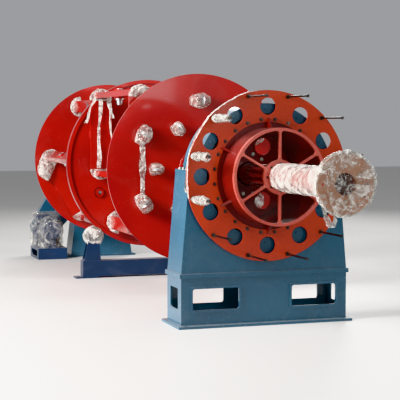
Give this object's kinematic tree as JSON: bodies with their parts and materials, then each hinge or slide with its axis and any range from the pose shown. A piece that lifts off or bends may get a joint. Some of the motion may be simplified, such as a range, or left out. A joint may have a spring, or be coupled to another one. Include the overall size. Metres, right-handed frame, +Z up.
{
  "type": "cable laying-up machine",
  "caption": "Cage-type cable laying-up machine: hollow shaft with large discs carrying bobbin cradles in two bays, drilled filler disc, spoked wheel, blue stands and drive unit.",
  "frame": {"origin": "on the floor under the rotor axis, at the middle of the front stand's anchor bolts", "axes": "+Z up, +Y along the rotor from the front tube to the drive, +X to the right seen from the front"},
  "size_m": [2.1198, 8.965, 2.5099],
  "materials": {
    "red_paint": "gloss red enamel over smooth steel",
    "orange_paint": "gloss orange-red enamel",
    "blue_paint": "semi-gloss blue enamel",
    "dark_blue_paint": "semi-gloss dark blue enamel",
    "steel": "turned steel, lightly oiled"
  },
  "bodies": {
    "root": {"front_pedestal": "blue_paint", "front_stand": "blue_paint", "bearing_cap": "blue_paint", "front_bearing": "steel", "roller_base": "dark_blue_paint", "roller_bracket_left": "dark_blue_paint", "roller_bracket_right": "dark_blue_paint", "rear_stand": "blue_paint", "rear_bearing": "dark_blue_paint", "drive_guard": "blue_paint", "drive_base": "dark_blue_paint", "gearbox": "dark_blue_paint", "drive_motor": "dark_blue_paint"},
    "rotor": {"front_drum": "red_paint", "drum_web": "red_paint", "spoke_wheel": "red_paint", "front_tube": "red_paint", "face_plate": "red_paint", "filler_disc": "orange_paint", "filler_pins": "steel", "main_shaft": "red_paint", "cage_disc_front": "red_paint", "cage_disc_middle": "red_paint", "cage_disc_rear": "red_paint", "cage_bearings_front": "red_paint", "cage_bearings_middle": "red_paint", "cage_bearings_rear": "red_paint", "guide_rings": "red_paint", "outer_sheave_brackets": "red_paint", "outer_sheaves": "steel", "inner_sheave_brackets": "red_paint", "inner_sheaves": "steel"},
    "cradle_1": {"cradle_1_frame": "red_paint", "cradle_1_pintles": "steel"},
    "cradle_2": {"cradle_2_frame": "red_paint", "cradle_2_pintles": "steel"},
    "cradle_3": {"cradle_3_frame": "red_paint", "cradle_3_pintles": "steel"},
    "cradle_4": {"cradle_4_frame": "red_paint", "cradle_4_pintles": "steel"},
    "cradle_5": {"cradle_5_frame": "red_paint", "cradle_5_pintles": "steel"},
    "cradle_6": {"cradle_6_frame": "red_paint", "cradle_6_pintles": "steel"},
    "roller_left": {"support_roller_left": "steel"},
    "roller_right": {"support_roller_right": "steel"}
  },
  "joints": [
    {"name": "rotor_spin", "type": "hinge", "parent": "root", "child": "rotor", "pos_m": [0, 0, 1.45], "axis": [0, 1, 0], "continuous": true},
    {"name": "cradle_1_turn", "type": "hinge", "parent": "rotor", "child": "cradle_1", "pos_m": [0.64086, 2.89, 1.82], "axis": [0, 1, 0], "continuous": true},
    {"name": "cradle_2_turn", "type": "hinge", "parent": "rotor", "child": "cradle_2", "pos_m": [-0.64086, 2.89, 1.82], "axis": [0, 1, 0], "continuous": true},
    {"name": "cradle_3_turn", "type": "hinge", "parent": "rotor", "child": "cradle_3", "pos_m": [0, 2.89, 0.71], "axis": [0, 1, 0], "continuous": true},
    {"name": "cradle_4_turn", "type": "hinge", "parent": "rotor", "child": "cradle_4", "pos_m": [0, 4.97, 2.19], "axis": [0, 1, 0], "continuous": true},
    {"name": "cradle_5_turn", "type": "hinge", "parent": "rotor", "child": "cradle_5", "pos_m": [-0.64086, 4.97, 1.08], "axis": [0, 1, 0], "continuous": true},
    {"name": "cradle_6_turn", "type": "hinge", "parent": "rotor", "child": "cradle_6", "pos_m": [0.64086, 4.97, 1.08], "axis": [0, 1, 0], "continuous": true},
    {"name": "roller_left_spin", "type": "hinge", "parent": "root", "child": "roller_left", "pos_m": [-0.72051, 3.93, 0.52779], "axis": [0, 1, 0], "continuous": true},
    {"name": "roller_right_spin", "type": "hinge", "parent": "root", "child": "roller_right", "pos_m": [0.72051, 3.93, 0.52779], "axis": [0, 1, 0], "continuous": true}
  ],
  "couplings": [
    {"joint": "roller_left_spin", "follows": "rotor_spin", "ratio": -9.6364},
    {"joint": "roller_right_spin", "follows": "rotor_spin", "ratio": -9.6364}
  ]
}
